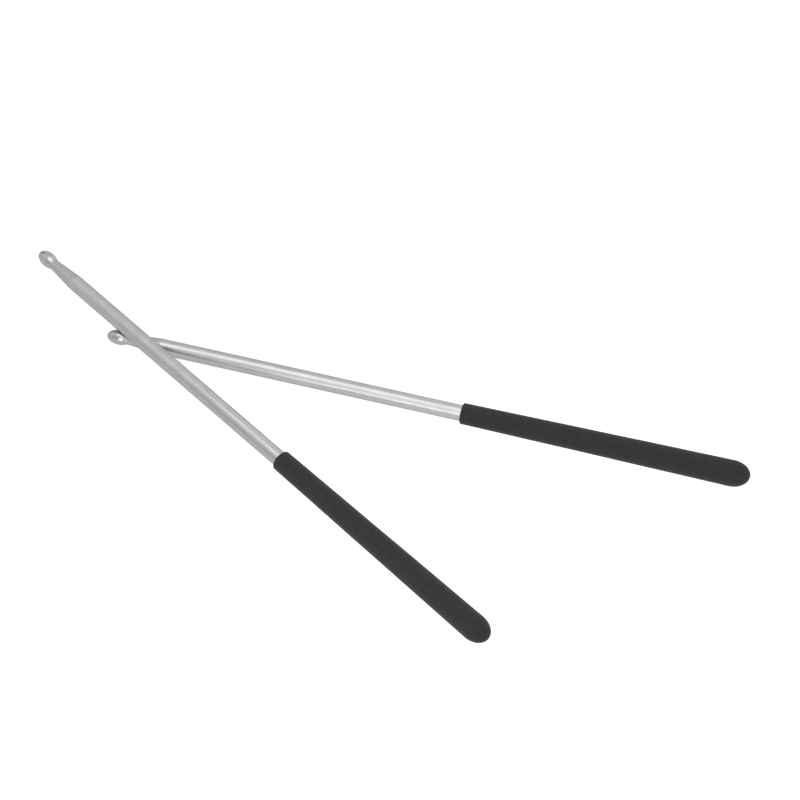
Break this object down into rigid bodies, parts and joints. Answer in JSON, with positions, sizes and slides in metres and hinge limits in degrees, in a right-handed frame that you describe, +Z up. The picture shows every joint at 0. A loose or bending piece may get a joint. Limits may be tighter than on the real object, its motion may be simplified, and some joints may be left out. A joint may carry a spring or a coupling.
{
  "type": "diabolo hand sticks",
  "caption": "Straight aluminium hand sticks with a turned bead tip, a string neck and a tapered black foam grip, lying crossed.",
  "frame": {"origin": "middle of the pair's bounding box, on the ground plane that both sticks rest on", "axes": "+Z up; +X along the pair's longest extent, with the grips towards +X; +Y from the grips towards the tips"},
  "size_m": [0.3508, 0.2428, 0.0161],
  "materials": {
    "turned_tip": "turned, polished on the bead",
    "tube": "satin drawn tube",
    "plug": "moulded",
    "foam": "matt closed-cell foam"
  },
  "bodies": {
    "lower_stick": {"lower_tip": "turned_tip", "lower_shaft": "tube", "lower_end_plug": "plug", "lower_grip": "foam"},
    "upper_stick": {"upper_tip": "turned_tip", "upper_shaft": "tube", "upper_end_plug": "plug", "upper_grip": "foam"}
  },
  "joints": [
    {"name": "upper_lift", "type": "slide", "parent": "lower_stick", "child": "upper_stick", "axis": [0, 0, 1], "range_m": [0, 0.1]}
  ]
}
